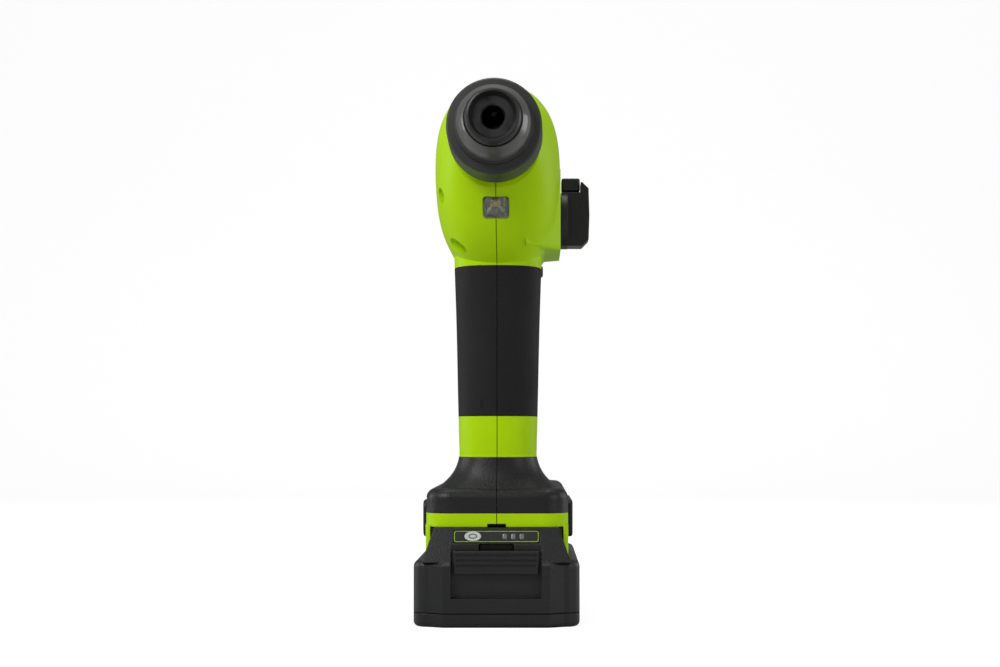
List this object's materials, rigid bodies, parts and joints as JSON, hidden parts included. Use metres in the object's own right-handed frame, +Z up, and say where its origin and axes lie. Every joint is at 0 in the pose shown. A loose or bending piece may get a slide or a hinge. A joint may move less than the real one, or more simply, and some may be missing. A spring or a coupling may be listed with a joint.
{
  "type": "cordless drill",
  "caption": "Cordless rotary hammer drill with a D-shaped rear handle, quick-change slotted-shank chuck, side mode knob and slide-on battery pack.",
  "frame": {"origin": "centre of the battery's flat resting face, on the tool's middle plane", "axes": "+Z up, the chuck points along -Y, +X is the user's left, the side with the mode knob"},
  "size_m": [0.0862, 0.2549, 0.2661],
  "materials": {
    "green_shell": "fine satin, lime green",
    "grip_rubber": "matte",
    "foot_rubber": "fine grain, satin",
    "black_plastic": "satin",
    "screw_steel": "black oxide",
    "lamp_lens": "clear",
    "circuit_board": "coated board",
    "cast_case": "as cast",
    "bearing_steel": "polished",
    "can_steel": "plated",
    "inner_plastic": "matte",
    "contact_brass": "bright",
    "machined_steel": "ground",
    "piston_aluminium": "turned",
    "core_laminations": "stacked sheet",
    "fork_steel": "pressed",
    "seal_rubber": "greased",
    "cap_rubber": "satin",
    "spring_steel": "drawn wire",
    "sleeve_plastic": "glossy front, satin collar",
    "battery_plastic": "fine grain, satin",
    "cell_wrap": "shrink wrap",
    "gauge_panel": "printed panel",
    "gauge_button": "satin"
  },
  "bodies": {
    "housing": {"housing_right": "green_shell", "housing_left": "green_shell", "front_grip_right": "grip_rubber", "front_grip_left": "grip_rubber", "rear_grip_right": "grip_rubber", "rear_grip_left": "grip_rubber", "foot_cover_right": "foot_rubber", "foot_cover_left": "foot_rubber", "side_bumpers": "foot_rubber", "vent_grilles": "black_plastic", "housing_screws": "screw_steel", "lamp_lens": "lamp_lens", "lamp_board": "circuit_board", "gear_case": "cast_case", "gear_plate": "cast_case", "ball_bearings": "bearing_steel", "motor_can": "can_steel", "brush_holder": "inner_plastic", "switch_body": "inner_plastic", "control_board": "circuit_board", "terminal_block": "inner_plastic", "terminal_blades": "contact_brass"},
    "spindle": {"spindle": "machined_steel", "spindle_gear": "machined_steel", "dust_cap": "cap_rubber", "chuck_spring": "spring_steel"},
    "chuck_collar": {"chuck_sleeve": "sleeve_plastic", "locking_ring": "machined_steel"},
    "ball_left": {"locking_ball_left": "bearing_steel"},
    "ball_right": {"locking_ball_right": "bearing_steel"},
    "impact_bolt": {"impact_bolt": "machined_steel"},
    "striker": {"striker": "machined_steel", "striker_ring": "seal_rubber"},
    "piston": {"piston": "piston_aluminium"},
    "piston_pin": {"piston_pin": "machined_steel"},
    "wobble_ring": {"wobble_ring": "machined_steel"},
    "countershaft": {"countershaft": "machined_steel", "countershaft_gear": "machined_steel", "wobble_hub": "machined_steel"},
    "clutch_sleeve": {"clutch_sleeve": "machined_steel"},
    "shift_fork": {"shift_fork": "fork_steel"},
    "rotor": {"rotor_core": "core_laminations", "rotor_shaft": "machined_steel", "cooling_fan": "inner_plastic"},
    "mode_knob": {"mode_knob": "black_plastic", "knob_shaft": "machined_steel"},
    "knob_button": {"knob_button": "black_plastic"},
    "trigger": {"trigger": "black_plastic"},
    "direction_lever": {"direction_lever": "black_plastic"},
    "battery": {"battery_case": "battery_plastic", "battery_base": "battery_plastic", "battery_cells": "cell_wrap", "battery_board": "circuit_board", "battery_contacts": "contact_brass", "gauge_panel": "gauge_panel", "battery_screws": "screw_steel", "latch_springs": "spring_steel"},
    "battery_latch": {"battery_latch": "battery_plastic"},
    "gauge_button": {"gauge_button": "gauge_button"}
  },
  "joints": [
    {"name": "spindle_spin", "type": "hinge", "parent": "housing", "child": "spindle", "pos_m": [0, 0, 0.231], "axis": [0, 1, 0], "continuous": true},
    {"name": "countershaft_spin", "type": "hinge", "parent": "housing", "child": "countershaft", "pos_m": [0, 0, 0.19975], "axis": [0, 1, 0], "continuous": true},
    {"name": "rotor_spin", "type": "hinge", "parent": "housing", "child": "rotor", "pos_m": [0, 0, 0.21775], "axis": [0, 1, 0], "continuous": true},
    {"name": "sleeve_slide", "type": "slide", "parent": "spindle", "child": "chuck_collar", "axis": [0, 1, 0], "range_m": [0, 0.006], "stiffness_N_per_m": 1500, "springref_m": -0.004, "deforming": ["chuck_spring"]},
    {"name": "ball_left_slide", "type": "slide", "parent": "spindle", "child": "ball_left", "axis": [1, 0, 0], "range_m": [0, 0.0018]},
    {"name": "ball_right_slide", "type": "slide", "parent": "spindle", "child": "ball_right", "axis": [-1, 0, 0], "range_m": [0, 0.0018]},
    {"name": "impact_bolt_slide", "type": "slide", "parent": "spindle", "child": "impact_bolt", "axis": [0, 1, 0], "range_m": [-0.005, 0]},
    {"name": "striker_slide", "type": "slide", "parent": "housing", "child": "striker", "axis": [0, 1, 0], "range_m": [-0.01, 0.005]},
    {"name": "wobble_rock", "type": "hinge", "parent": "housing", "child": "wobble_ring", "pos_m": [0, 0.016, 0.19975], "axis": [1, 0, 0], "range_deg": [-11, 11]},
    {"name": "piston_slide", "type": "slide", "parent": "housing", "child": "piston", "axis": [0, 1, 0], "range_m": [-0.00597, 0.00597]},
    {"name": "piston_pin_turn", "type": "hinge", "parent": "piston", "child": "piston_pin", "pos_m": [0, 0.016, 0.231], "axis": [1, 0, 0], "range_deg": [-11.1, 11.1]},
    {"name": "mode_knob_turn", "type": "hinge", "parent": "housing", "child": "mode_knob", "pos_m": [0.033, -0.007, 0.2015], "axis": [1, 0, 0], "range_deg": [-60, 60]},
    {"name": "knob_button_press", "type": "slide", "parent": "mode_knob", "child": "knob_button", "axis": [0, 0, -1], "range_m": [0, 0.002], "stiffness_N_per_m": 900, "springref_m": -0.0015},
    {"name": "clutch_slide", "type": "slide", "parent": "countershaft", "child": "clutch_sleeve", "axis": [0, 1, 0], "range_m": [-0.00265, 0.00265]},
    {"name": "shift_slide", "type": "slide", "parent": "housing", "child": "shift_fork", "axis": [0, 1, 0], "range_m": [-0.0026, 0.0026]},
    {"name": "trigger_press", "type": "slide", "parent": "housing", "child": "trigger", "axis": [0, 0.9453, -0.3261], "range_m": [0, 0.006], "stiffness_N_per_m": 900, "springref_m": -0.004},
    {"name": "direction_slide", "type": "slide", "parent": "housing", "child": "direction_lever", "axis": [1, 0, 0], "range_m": [-0.003, 0.003]},
    {"name": "battery_slide", "type": "slide", "parent": "housing", "child": "battery", "axis": [0, -1, 0], "range_m": [0, 0.112]},
    {"name": "latch_press", "type": "slide", "parent": "battery", "child": "battery_latch", "axis": [0, 0, -1], "range_m": [0, 0.004], "stiffness_N_per_m": 1200, "springref_m": -0.003, "deforming": ["latch_springs"]},
    {"name": "gauge_button_press", "type": "slide", "parent": "battery", "child": "gauge_button", "axis": [0, 0.931, -0.365], "range_m": [0, 0.0008], "stiffness_N_per_m": 1500, "springref_m": -0.0006}
  ],
  "couplings": [
    {"joint": "countershaft_spin", "follows": "spindle_spin", "ratio": -2.5714},
    {"joint": "rotor_spin", "follows": "spindle_spin", "ratio": 10.286},
    {"joint": "ball_left_slide", "follows": "sleeve_slide", "ratio": 0.3},
    {"joint": "ball_right_slide", "follows": "sleeve_slide", "ratio": 0.3},
    {"joint": "wobble_rock", "follows": "piston_slide", "rad_per_m": -32.1},
    {"joint": "piston_pin_turn", "follows": "piston_slide", "rad_per_m": -32.1},
    {"joint": "clutch_slide", "follows": "shift_slide", "ratio": 1},
    {"joint": "mode_knob_turn", "follows": "shift_slide", "rad_per_m": -402.7}
  ]
}
